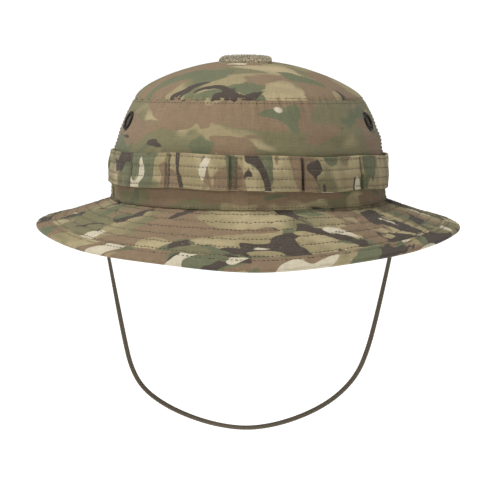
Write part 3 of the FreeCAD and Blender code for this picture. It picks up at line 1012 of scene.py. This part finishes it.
pile = Finish("loop_pile", 0.95, Sheen_Weight=0.5)
spot = pile.place_map()
tuft = pile.noise(spot, 900, 3, 0.6)
cloud = pile.noise(spot, 140, 2)
lit = (tuft * 0.7 + cloud * 0.5).over(0.6, 0.5)
pile.feed("Base Color", pile.mixed(lit, (0.21, 0.172, 0.102), (0.45, 0.385, 0.25)))
pile.raised(tuft, 0.0004)


def dome_height(x, y):
    """Height of the crown's top over a place: its rise x (1 - r squared) to half the dome's curl."""
    r = ((x + dome_lean) / seam_half) ** 2 + (y / (seam_half * plan_stretch)) ** 2
    return seam_height + (crown_top - seam_height) * np.clip(1 - r, 0, 1) ** (dome_curl / 2)


def patch_top(x, y):
    """The pad's upper face: its thickness above the dome, rolled down at the rim."""
    edge = np.clip(np.maximum(np.abs(x + dome_lean), np.abs(y - patch_middle)) / patch_half, 0, 1)
    return dome_height(x, y) + patch_thickness - patch_roll * edge ** 12


def pad_points():
    """Rings from the middle out to a rounded square, then down to the dome."""
    turn = np.linspace(0, 2 * np.pi, 129)
    corner = (np.abs(np.cos(turn)) ** 8 + np.abs(np.sin(turn)) ** 8) ** (-1 / 8)
    share = np.sin(np.linspace(0.002, np.pi / 2, patch_rows))
    x = patch_half * share[None, :] * (corner * np.cos(turn))[:, None] - dome_lean
    y = patch_half * share[None, :] * (corner * np.sin(turn))[:, None] + patch_middle
    top = np.stack([x, y, patch_top(x, y)], -1)
    skirt = np.linspace(0, 1, 6)[None, 1:, None]
    foot = np.stack([x[:, -1], y[:, -1], dome_height(x[:, -1], y[:, -1]) - 0.0002], -1)[:, None]
    return np.concatenate([top, top[:, -1:] + (foot - top[:, -1:]) * skirt], 1)


pad_grid = pad_points()
pad = surface("loop_patch_pad", pad_grid[:, ::-1], pad_grid[:, ::-1, :2], pile, round_u=True)
part_of_hat(pad, "loop_patch")

dice = np.random.default_rng(90)
cells = np.arange(-patch_half + 0.0003, patch_half, pile_pitch)
x, y = (c.ravel() for c in np.meshgrid(cells, cells))
inside = np.hypot(np.maximum(np.abs(x) - patch_half + patch_corner, 0),
                  np.maximum(np.abs(y) - patch_half + patch_corner, 0)) < patch_corner
x = x[inside] + dice.normal(0, 0.0002, inside.sum()) - dome_lean
y = y[inside] + dice.normal(0, 0.0002, inside.sum()) + patch_middle
heading = dice.uniform(0, np.pi, len(x))[:, None]
height = pile_height * dice.uniform(0.5, 1.0, len(x))[:, None]
bend = np.linspace(0, np.pi, 7)[None, :]
reach = pile_reach * np.cos(bend)
line = np.stack([x[:, None] + reach * np.cos(heading), y[:, None] + reach * np.sin(heading),
                 patch_top(x, y)[:, None] - pile_root + height * np.sin(bend)], -1)
along = unit(np.gradient(line, axis=1))
flat = np.stack([-np.sin(heading), np.cos(heading), 0 * heading], -1) + 0 * along
thick = np.cross(along, flat)
angle = (np.arange(3) * 2 * np.pi / 3)[:, None]
loops = np.cos(angle) * flat[:, :, None] + np.sin(angle) * thick[:, :, None]
loops = line[:, :, None] + pile_thread * loops
pile_loops = tubes("loop_patch_pile", loops, pile)
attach(pile_loops, "hat")

# --------------------
# Sweatband: a folded cotton tape stitched inside the head opening, where the hat meets the
# head. The two tabs that hold the chin strap are folded from the same tape.
sweat_low, sweat_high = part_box("sweatband")
tape_thickness = 0.0010
tape_gap = 0.0004
tape_columns = 360

tape = Finish("cotton_tape", 0.9, Sheen_Weight=0.1)
tape_u, tape_v = tape.across_and_along(tape.surface_map())
twill = ((tape_u + tape_v) * (math.tau / 0.0011)).sine()
tape_grain = tape.noise(tape.surface_map(), 700, 3)
worn_tape = (twill * 0.2 + tape_grain).over(0.55, 0.8)
tape.feed("Base Color", tape.mixed(worn_tape, (0.070, 0.058, 0.036), (0.155, 0.130, 0.085)))
tape.raised(twill * 0.5 + tape_grain * 0.5, 0.00018)

section = strip_section(sweat_low.z, sweat_high.z, tape_thickness / 2, tape_thickness, 24, 24)
turn, height = np.meshgrid(np.linspace(-np.pi, np.pi, tape_columns + 1), section[:, 0], indexing="ij")
depth = section[:, 1]
ripple = 0.00025 * waves(turn * half_width, (0.071, 0.043, 0.019), 77) * (depth < tape_thickness / 2)
radius = wall_radius(height) - crown_cloth - tape_gap - (tape_thickness - depth) - ripple
grid = around(turn, radius, height)
around_section = run_length(section)
chart = paired(turn * half_width, around_section[None, :])
sweat_tape = surface("sweatband_tape", grid, chart, tape, round_u=True, round_v=True)
part_of_hat(sweat_tape, "sweatband")

tab_layer = 0.0013
tab_rows = (0.0052, 0.0022)


def tab_line(low, high):
    """A fold of tape seen from its side: down one face, half a turn round the bottom, up the other."""
    middle = (low.x + high.x) / 2
    bend_radius = (high.x - low.x - tab_layer) / 2
    bottom = low.z + (high.x - low.x) / 2
    rise = np.linspace(high.z - 0.0002, bottom, 40)
    bend = np.linspace(0, np.pi, 21)[1:-1]
    left = np.stack([np.full(40, middle - bend_radius), rise], -1)
    fold = np.stack([middle - bend_radius * np.cos(bend), bottom - bend_radius * np.sin(bend)], -1)
    right = np.stack([np.full(40, middle + bend_radius), rise[::-1]], -1)
    return np.concatenate([left, fold, right])


def tab_points(low, high):
    """The tape's middle surface: the fold's line carried straight across the tab's width."""
    line = tab_line(low, high)
    length = run_length(line)
    across = np.linspace(low.y + 0.0002, high.y - 0.0002, 12)
    x, z, across, length = np.broadcast_arrays(line[:, :1], line[:, 1:], across[None, :], length[:, None])
    return np.stack([x, across, z], -1), np.stack([length, across], -1)


tab_stitches = []
for side_name in ("left", "right"):
    tab_low, tab_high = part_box(f"chin_strap_tab_{side_name}")
    tab_grid, tab_chart = tab_points(tab_low, tab_high)
    tab = surface(f"chin_strap_tab_tape_{side_name}", tab_grid, tab_chart, tape)
    thicken(tab, tab_layer, 0.0)
    part_of_hat(tab, f"chin_strap_tab_{side_name}")
    face = min(tab_low.x, tab_high.x, key=abs)
    for row in tab_rows:
        across = np.linspace(tab_low.y + 0.0008, tab_high.y - 0.0008, 40)
        line = np.stack([np.full(40, face), across, np.full(40, row)], -1)
        out = np.tile([-np.sign(face), 0.0, 0.0], (40, 1))
        tab_stitches.append(stitches_along(line, out, 0.0020))
thread_piece("chin_strap_tab_stitching", tab_stitches)
